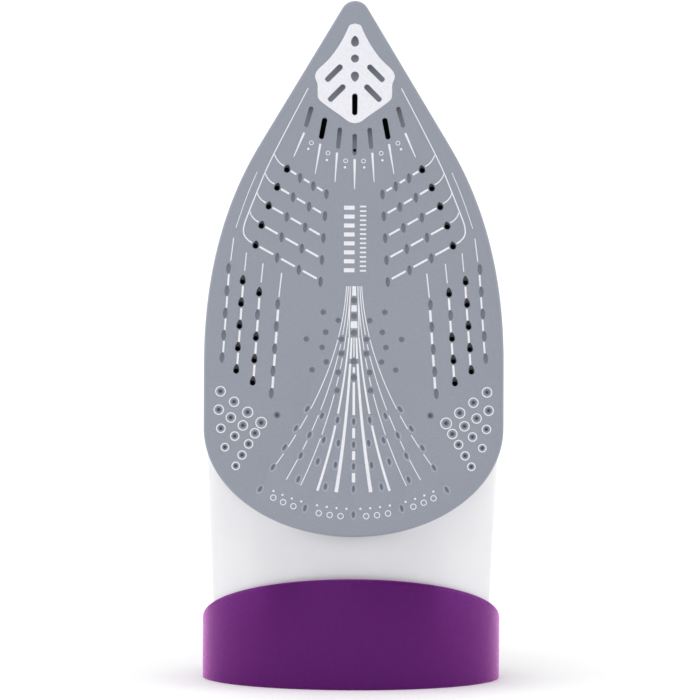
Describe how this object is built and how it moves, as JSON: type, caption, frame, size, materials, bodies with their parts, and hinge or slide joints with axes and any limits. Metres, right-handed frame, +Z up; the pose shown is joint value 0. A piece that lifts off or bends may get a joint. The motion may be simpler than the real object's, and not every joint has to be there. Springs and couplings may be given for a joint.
{
  "type": "clothes iron",
  "caption": "Steam iron standing on its heel: coated soleplate with steam outlets, water tank, loop handle, dials, sprung buttons, hinged filler lid and swivelling cord inlet.",
  "frame": {"origin": "centre of the heel's flat foot, on the surface that the iron stands on", "axes": "+Z up, towards the tip of the sole; the soleplate faces -Y and leans back 8 degrees; the handle is towards +Y; X is across the iron"},
  "size_m": [0.124, 0.1665, 0.284],
  "materials": {
    "sole_coating": "satin blue-grey ceramic coating on aluminium, with thin white printed lines",
    "cast_aluminium": "as cast",
    "steel": "bright",
    "brass": "bright",
    "white_plastic": "semi-gloss",
    "purple_plastic": "glossy",
    "tank_plastic": "clear tinted",
    "grip_rubber": "soft touch",
    "phenolic": "moulded",
    "silicone": "soft",
    "amber_lens": "clear amber",
    "lead_sleeve": "woven glass sleeve"
  },
  "bodies": {
    "body": {"soleplate": "sole_coating", "heater_casting": "cast_aluminium", "heating_element": "steel", "right_element_terminal": "steel", "left_element_terminal": "steel", "steam_chamber_cover": "steel", "steam_valve_seat": "silicone", "heat_shield": "white_plastic", "rear_mounting_strap": "steel", "right_strap_screw": "steel", "left_strap_screw": "steel", "thermostat_body": "phenolic", "thermal_fuse": "brass", "main_housing": "white_plastic", "water_tank": "tank_plastic", "filler_hinge_pin": "steel", "deck_cover": "white_plastic", "handle_upper_shell": "white_plastic", "handle_lower_shell": "grip_rubber", "grip_pad": "grip_rubber", "rear_cover": "purple_plastic", "rear_cover_screw": "steel", "spray_nozzle_bezel": "purple_plastic", "spray_nozzle": "white_plastic", "indicator_lens": "amber_lens", "neon_lamp": "amber_lens", "spray_pump_cylinder": "phenolic", "spray_return_spring": "steel", "steam_boost_pump_cylinder": "phenolic", "steam_boost_return_spring": "steel", "spray_hose": "silicone", "steam_boost_pipe": "silicone", "water_pickup_pipe": "silicone", "cord_gland_bezel": "purple_plastic", "terminal_block": "phenolic", "cord_clamp": "phenolic", "right_clamp_screw": "steel", "left_clamp_screw": "steel", "live_lead": "lead_sleeve", "neutral_lead": "lead_sleeve", "heater_lead": "lead_sleeve", "right_heel_screw": "steel", "left_heel_screw": "steel", "heel_cap": "purple_plastic"},
    "temperature_control": {"temperature_dial": "white_plastic", "thermostat_spindle": "brass"},
    "steam_control": {"steam_dial": "purple_plastic"},
    "steam_valve": {"steam_valve_needle": "steel"},
    "self_clean": {"self_clean_button": "purple_plastic"},
    "spray_trigger": {"spray_button": "purple_plastic", "spray_plunger": "steel"},
    "steam_trigger": {"steam_boost_button": "purple_plastic", "steam_boost_plunger": "steel"},
    "filler_flap": {"filler_lid": "purple_plastic", "filler_seal": "silicone"},
    "cord_ring": {"cord_swivel_ring": "grip_rubber"},
    "cord_ball": {"cord_swivel_ball": "grip_rubber"}
  },
  "joints": [
    {"name": "temperature_turn", "type": "hinge", "parent": "body", "child": "temperature_control", "pos_m": [0, 0.04608, 0.13041], "axis": [0, 0.9903, -0.1392], "range_deg": [0, 270]},
    {"name": "steam_turn", "type": "hinge", "parent": "body", "child": "steam_control", "pos_m": [0, 0.0522, 0.17398], "axis": [0, 0.9903, -0.1392], "range_deg": [0, 90]},
    {"name": "steam_valve_lift", "type": "slide", "parent": "body", "child": "steam_valve", "axis": [0, 0.9903, -0.1392], "range_m": [0, 0.0021]},
    {"name": "self_clean_press", "type": "slide", "parent": "body", "child": "self_clean", "axis": [0, -0.9903, 0.1392], "range_m": [0, 0.002], "stiffness_N_per_m": 400, "springref_m": -0.001},
    {"name": "spray_press", "type": "slide", "parent": "body", "child": "spray_trigger", "axis": [0, -0.9903, 0.1392], "range_m": [0, 0.004], "stiffness_N_per_m": 600, "springref_m": -0.001, "deforming": ["spray_return_spring"]},
    {"name": "steam_boost_press", "type": "slide", "parent": "body", "child": "steam_trigger", "axis": [0, -0.9903, 0.1392], "range_m": [0, 0.004], "stiffness_N_per_m": 600, "springref_m": -0.001, "deforming": ["steam_boost_return_spring"]},
    {"name": "filler_lid_open", "type": "hinge", "parent": "body", "child": "filler_flap", "pos_m": [0, 0.01715, 0.25492], "axis": [1, 0, 0], "range_deg": [0, 100]},
    {"name": "cord_ring_turn", "type": "hinge", "parent": "body", "child": "cord_ring", "pos_m": [0, 0.08598, 0.04552], "axis": [0, 0.7772, -0.6293], "range_deg": [-90, 90]},
    {"name": "cord_ball_tilt", "type": "hinge", "parent": "cord_ring", "child": "cord_ball", "pos_m": [0, 0.08598, 0.04552], "axis": [1, 0, 0], "range_deg": [-20, 20]}
  ],
  "couplings": [
    {"joint": "steam_valve_lift", "follows": "steam_turn", "m_per_rad": 0.0012732}
  ]
}
